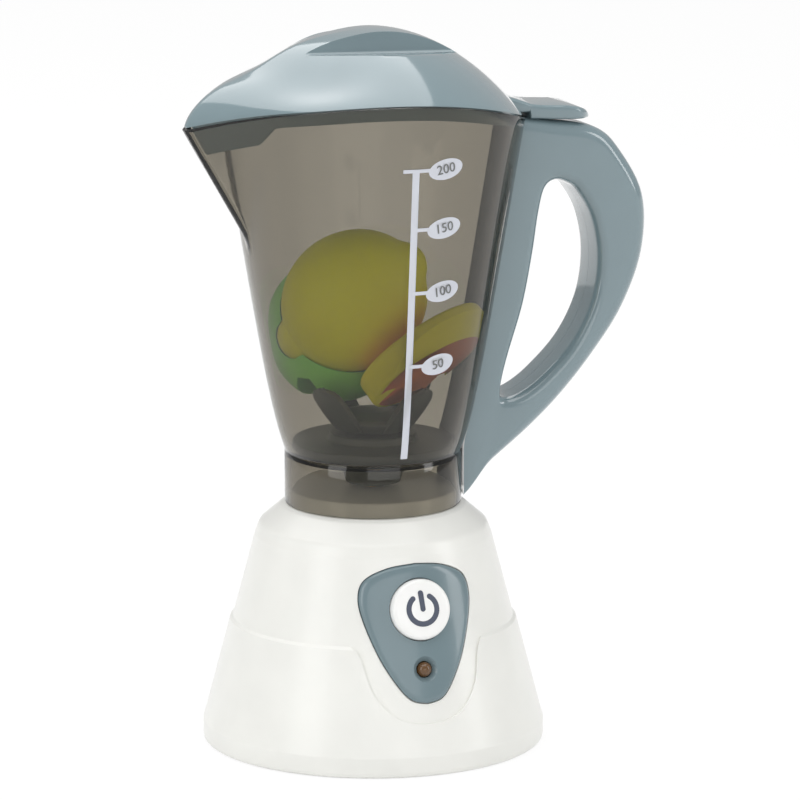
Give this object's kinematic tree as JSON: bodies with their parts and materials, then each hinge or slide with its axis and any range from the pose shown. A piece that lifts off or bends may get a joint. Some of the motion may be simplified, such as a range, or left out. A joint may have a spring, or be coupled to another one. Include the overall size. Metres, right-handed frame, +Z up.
{
  "type": "toy blender",
  "caption": "Toy blender with a sloping push-button base, a smoky lift-off jug with a blade flower, a domed lid and play fruit.",
  "frame": {"origin": "centre of the base, on the surface it stands on", "axes": "+Z up, -Y out of the front with the power button, +X to the handle, -X to the spout"},
  "size_m": [0.1575, 0.112, 0.236],
  "materials": {
    "warm_white": "smooth moulded",
    "blue_grey": "smooth moulded",
    "button_white": "smooth moulded",
    "smoke_clear": "polished clear moulding",
    "charcoal": "fine moulded",
    "cream_nylon": "natural",
    "amber_lens": "clear epoxy",
    "board_green": "solder mask",
    "steel": "plated",
    "bronze": "sintered",
    "cell_jacket": "film",
    "wire_red": "insulation",
    "toy_yellow": "smooth moulded",
    "toy_orange": "smooth moulded",
    "toy_green": "smooth moulded"
  },
  "bodies": {
    "base": {"base_shell": "warm_white", "base_bottom": "warm_white", "case_screws": "steel", "battery_cells": "cell_jacket", "battery_contacts": "steel", "control_panel": "blue_grey", "power_switch": "charcoal", "led_lamp": "amber_lens", "circuit_board": "board_green", "board_screws": "steel", "motor": "steel", "motor_screws": "steel", "gearbox_plate": "cream_nylon", "gearbox_cover": "cream_nylon", "gearbox_screws": "steel", "shaft_bushes": "bronze", "wires": "wire_red"},
    "button": {"power_button": "button_white", "switch_plunger": "charcoal"},
    "door": {"battery_door": "warm_white", "battery_door_screw": "steel"},
    "drive": {"drive_shaft": "steel", "drive_gear": "cream_nylon", "drive_coupling": "charcoal"},
    "motor_rotor": {"motor_shaft": "steel", "motor_pinion": "cream_nylon"},
    "jug": {"jug": "smoke_clear", "jug_floor": "charcoal", "blade_bush": "bronze", "handle_front_half": "blue_grey", "handle_back_half": "blue_grey", "handle_screws": "steel", "toy_lemon": "toy_yellow", "toy_fruit_slice": "toy_orange", "toy_green_fruit": "toy_green"},
    "blades": {"blade_rotor": "charcoal", "blade_shaft": "steel", "driven_coupling": "charcoal"},
    "lid": {"lid": "blue_grey"}
  },
  "joints": [
    {"name": "jug_lift", "type": "slide", "parent": "base", "child": "jug", "axis": [0, 0, 1], "range_m": [0, 0.06]},
    {"name": "lid_lift", "type": "slide", "parent": "jug", "child": "lid", "axis": [0, 0, 1], "range_m": [0, 0.05]},
    {"name": "drive_spin", "type": "hinge", "parent": "base", "child": "drive", "pos_m": [0, 0, 0.055], "axis": [0, 0, 1], "continuous": true},
    {"name": "pinion_spin", "type": "hinge", "parent": "base", "child": "motor_rotor", "pos_m": [-0.024, 0, 0.055], "axis": [0, 0, 1], "continuous": true},
    {"name": "blade_spin", "type": "hinge", "parent": "jug", "child": "blades", "pos_m": [0, 0, 0.1], "axis": [0, 0, 1], "continuous": true},
    {"name": "power_press", "type": "slide", "parent": "base", "child": "button", "axis": [0, 0.9673, -0.2534], "range_m": [0, 0.0016], "stiffness_N_per_m": 600, "springref_m": -0.001},
    {"name": "battery_door_off", "type": "slide", "parent": "base", "child": "door", "axis": [0, 0, -1], "range_m": [0, 0.02]}
  ],
  "couplings": [
    {"joint": "blade_spin", "follows": "drive_spin", "ratio": 1},
    {"joint": "pinion_spin", "follows": "drive_spin", "ratio": -3}
  ]
}
